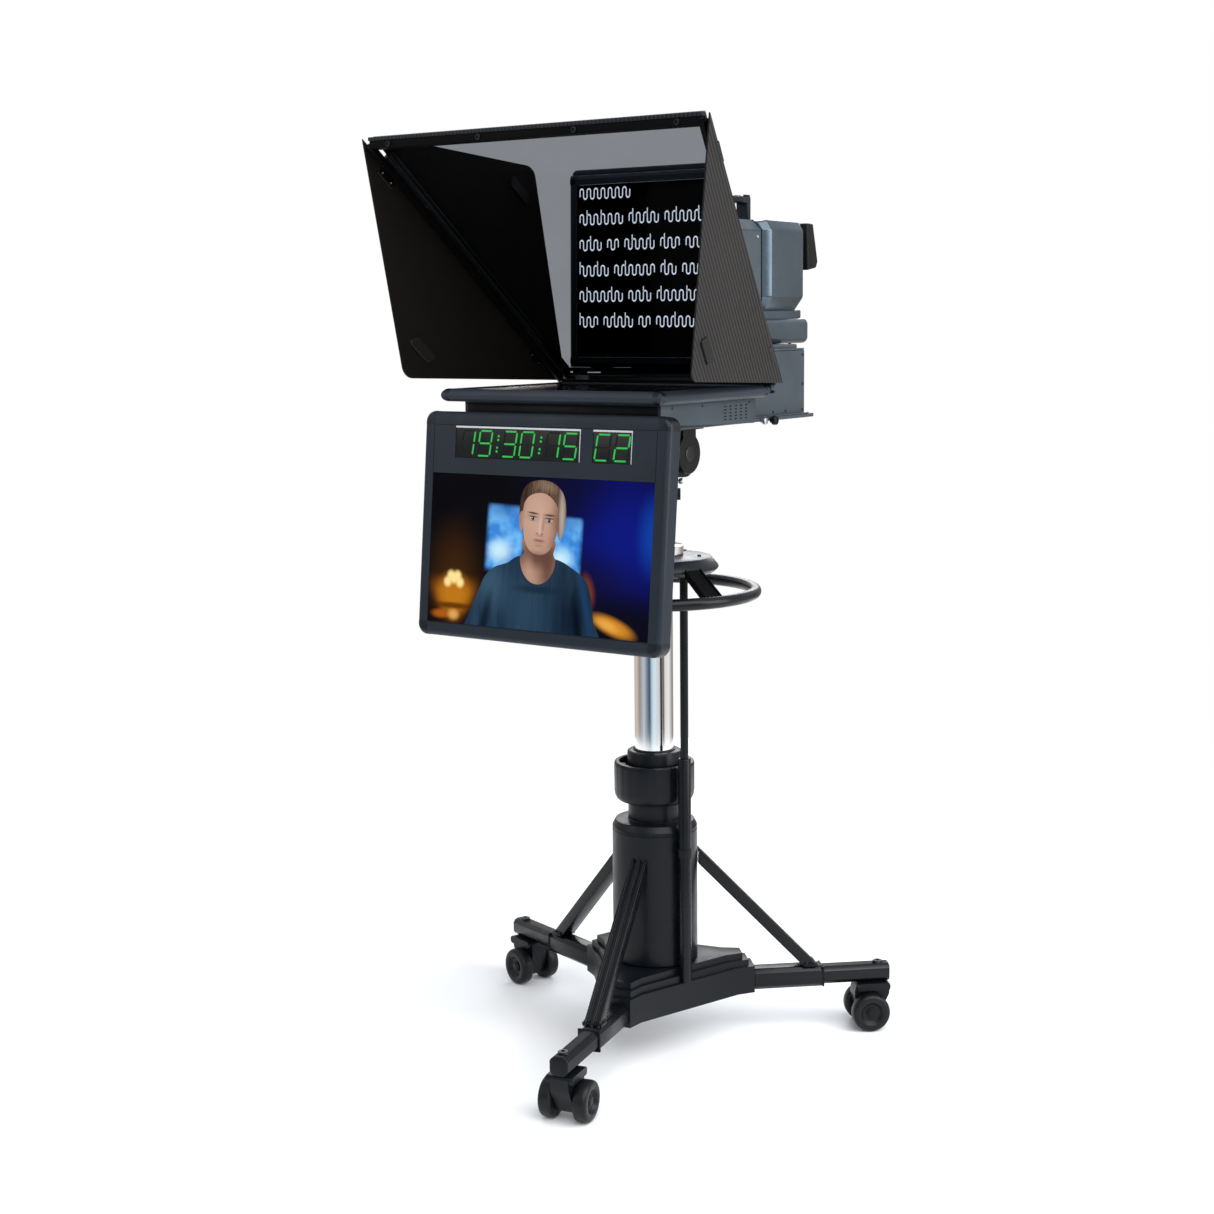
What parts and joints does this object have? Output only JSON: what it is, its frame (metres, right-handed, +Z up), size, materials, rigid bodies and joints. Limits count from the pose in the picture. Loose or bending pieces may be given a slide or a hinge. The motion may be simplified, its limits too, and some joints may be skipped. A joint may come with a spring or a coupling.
{
  "type": "teleprompter",
  "caption": "Studio teleprompter: mirror glass and hood over a flat monitor in front of a camera, with a talent screen below, on a rolling height-adjustable pedestal.",
  "frame": {"origin": "centre of the overall box, on the floor under the casters", "axes": "+Z up, +Y from the talent towards the camera operator, +X to the right of someone who faces the glass"},
  "size_m": [0.9199, 1.0699, 1.9225],
  "materials": {
    "black_casting": "satin black powder coat on cast metal",
    "black_tube": "satin black painted tube",
    "chrome": "polished hard chrome",
    "hub_paint": "slate satin paint",
    "wheel_rubber": "smooth black caster tread",
    "satin_black": "satin black anodised",
    "turned_steel": "fine turned",
    "slate_metal": "slate powder coat",
    "slate_shell": "satin slate",
    "camera_panel": "satin blue-grey",
    "camera_black": "semi-gloss black",
    "ribbed_carbon": "fine ribbed dark grey composite",
    "mirror_glass": "grey half-silvered glass",
    "dark_screen": "glossy display panel",
    "display_window": "dark window over green seven-segment digits",
    "grip_rubber": "ribbed rubber"
  },
  "bodies": {
    "dolly": {"base_casting": "black_casting", "leg_right": "black_tube", "leg_rear": "black_tube", "leg_front": "black_tube", "brace_right": "black_tube", "brace_rear": "black_tube", "brace_front": "black_tube", "pedestal_body": "black_casting", "guide_collar": "black_casting", "guide_tube": "black_tube"},
    "lock_ring": {"height_lock_ring": "black_casting"},
    "column": {"column_tube": "chrome", "hub_disc": "hub_paint", "chrome_collar": "chrome", "upper_post": "black_tube", "guide_rod": "black_tube", "control_ring": "black_tube"},
    "pan": {"pan_head": "satin_black"},
    "pan_brake": {"pan_brake_knob": "turned_steel"},
    "tilt": {"tilt_platform": "satin_black"},
    "tilt_brake": {"tilt_brake_knob": "satin_black"},
    "sled": {"sled_plate": "slate_metal", "prompter_bezel": "slate_shell", "prompter_screen": "dark_screen", "prompter_housing": "slate_shell", "talent_bracket": "satin_black", "camera_riser": "slate_metal"},
    "sled_release": {"sled_release_knob": "turned_steel"},
    "sled_lock": {"sled_lock_knob": "satin_black"},
    "glass": {"glass_pane": "mirror_glass", "glass_bar_left": "satin_black", "glass_bar_right": "satin_black", "glass_bottom_bar": "satin_black", "top_beam": "satin_black", "top_strip": "ribbed_carbon"},
    "hood_left": {"hood_panel_left": "ribbed_carbon", "hood_catch_left": "slate_shell"},
    "hood_right": {"hood_panel_right": "ribbed_carbon", "hood_catch_right": "slate_shell"},
    "talent": {"talent_frame": "slate_shell", "talent_screen": "dark_screen", "clock_window": "display_window", "cue_window": "display_window"},
    "camera": {"camera_plate": "slate_metal", "camera_body": "camera_panel", "camera_rear_shell": "slate_shell", "camera_base": "camera_black", "camera_handle": "satin_black", "lens_barrel": "satin_black"},
    "focus": {"focus_ring": "grip_rubber"},
    "viewfinder": {"viewfinder": "camera_black"},
    "caster_right": {"caster_fork_right": "black_casting"},
    "wheel_right_a": {"wheel_right_a": "wheel_rubber"},
    "wheel_right_b": {"wheel_right_b": "wheel_rubber"},
    "caster_rear": {"caster_fork_rear": "black_casting"},
    "wheel_rear_a": {"wheel_rear_a": "wheel_rubber"},
    "wheel_rear_b": {"wheel_rear_b": "wheel_rubber"},
    "caster_front": {"caster_fork_front": "black_casting"},
    "wheel_front_a": {"wheel_front_a": "wheel_rubber"},
    "wheel_front_b": {"wheel_front_b": "wheel_rubber"}
  },
  "joints": [
    {"name": "column_lift", "type": "slide", "parent": "dolly", "child": "column", "axis": [0, 0, 1], "range_m": [-0.3, 0.08]},
    {"name": "height_lock", "type": "hinge", "parent": "dolly", "child": "lock_ring", "pos_m": [0.043, -0.02, 0.575], "axis": [0, 0, 1], "range_deg": [0, 60]},
    {"name": "head_pan", "type": "hinge", "parent": "column", "child": "pan", "pos_m": [0.043, -0.02, 1.18], "axis": [0, 0, 1], "continuous": true},
    {"name": "pan_brake_turn", "type": "hinge", "parent": "pan", "child": "pan_brake", "pos_m": [0.09139, 0.01143, 1.2205], "axis": [0.8387, 0.5446, 0], "range_deg": [-180, 180]},
    {"name": "head_tilt", "type": "hinge", "parent": "pan", "child": "tilt", "pos_m": [0.043, -0.02, 1.281], "axis": [1, 0, 0], "range_deg": [-20, 15]},
    {"name": "tilt_brake_turn", "type": "hinge", "parent": "tilt", "child": "tilt_brake", "pos_m": [-0.062, -0.02, 1.281], "axis": [-1, 0, 0], "range_deg": [-180, 180]},
    {"name": "balance_slide", "type": "slide", "parent": "tilt", "child": "sled", "axis": [0, 1, 0], "range_m": [-0.03, 0.03]},
    {"name": "sled_release_turn", "type": "hinge", "parent": "sled", "child": "sled_release", "pos_m": [0.2, 0.177, 1.3398], "axis": [1, 0, 0], "range_deg": [-180, 180]},
    {"name": "sled_lock_turn", "type": "hinge", "parent": "sled", "child": "sled_lock", "pos_m": [0.201, 0.218, 1.3398], "axis": [1, 0, 0], "range_deg": [-180, 180]},
    {"name": "glass_trim", "type": "hinge", "parent": "sled", "child": "glass", "pos_m": [0.043, 0.0422, 1.431], "axis": [1, 0, 0], "range_deg": [-8, 0]},
    {"name": "hood_left_swing", "type": "hinge", "parent": "glass", "child": "hood_left", "pos_m": [-0.23029, 0.0311, 1.42737], "axis": [-0.186, -0.6872, 0.7023], "range_deg": [-10, 25]},
    {"name": "hood_right_swing", "type": "hinge", "parent": "glass", "child": "hood_right", "pos_m": [0.31629, 0.0311, 1.42737], "axis": [0.186, -0.6872, 0.7023], "range_deg": [-25, 10]},
    {"name": "talent_tilt", "type": "hinge", "parent": "sled", "child": "talent", "pos_m": [0.043, -0.354, 1.25], "axis": [1, 0, 0], "range_deg": [-3.5, 12]},
    {"name": "camera_slide", "type": "slide", "parent": "sled", "child": "camera", "axis": [0, 1, 0], "range_m": [-0.02, 0.03]},
    {"name": "focus_turn", "type": "hinge", "parent": "camera", "child": "focus", "pos_m": [0.043, 0.025, 1.672], "axis": [0, 1, 0], "range_deg": [-60, 60]},
    {"name": "viewfinder_flip", "type": "hinge", "parent": "camera", "child": "viewfinder", "pos_m": [0.043, 0.4835, 1.766], "axis": [1, 0, 0], "range_deg": [0, 70]},
    {"name": "swivel_right", "type": "hinge", "parent": "dolly", "child": "caster_right", "pos_m": [0.41466, 0.30997, 0.095], "axis": [0, 0, 1], "continuous": true},
    {"name": "roll_right_a", "type": "hinge", "parent": "caster_right", "child": "wheel_right_a", "pos_m": [0.37214, 0.32171, 0.042], "axis": [-0.6639, 0.7478, 0], "continuous": true},
    {"name": "roll_right_b", "type": "hinge", "parent": "caster_right", "child": "wheel_right_b", "pos_m": [0.42127, 0.26637, 0.042], "axis": [-0.6639, 0.7478, 0], "continuous": true},
    {"name": "swivel_rear", "type": "hinge", "parent": "dolly", "child": "caster_rear", "pos_m": [-0.42859, 0.13688, 0.095], "axis": [0, 0, 1], "continuous": true},
    {"name": "roll_rear_a", "type": "hinge", "parent": "caster_rear", "child": "wheel_rear_a", "pos_m": [-0.4175, 0.09419, 0.042], "axis": [-0.3156, -0.9489, 0], "continuous": true},
    {"name": "roll_rear_b", "type": "hinge", "parent": "caster_rear", "child": "wheel_rear_b", "pos_m": [-0.39414, 0.16441, 0.042], "axis": [-0.3156, -0.9489, 0], "continuous": true},
    {"name": "swivel_front", "type": "hinge", "parent": "dolly", "child": "caster_front", "pos_m": [0.14294, -0.50685, 0.095], "axis": [0, 0, 1], "continuous": true},
    {"name": "roll_front_a", "type": "hinge", "parent": "caster_front", "child": "wheel_front_a", "pos_m": [0.17435, -0.4759, 0.042], "axis": [0.9796, 0.2011, 0], "continuous": true},
    {"name": "roll_front_b", "type": "hinge", "parent": "caster_front", "child": "wheel_front_b", "pos_m": [0.10187, -0.49078, 0.042], "axis": [0.9796, 0.2011, 0], "continuous": true}
  ]
}
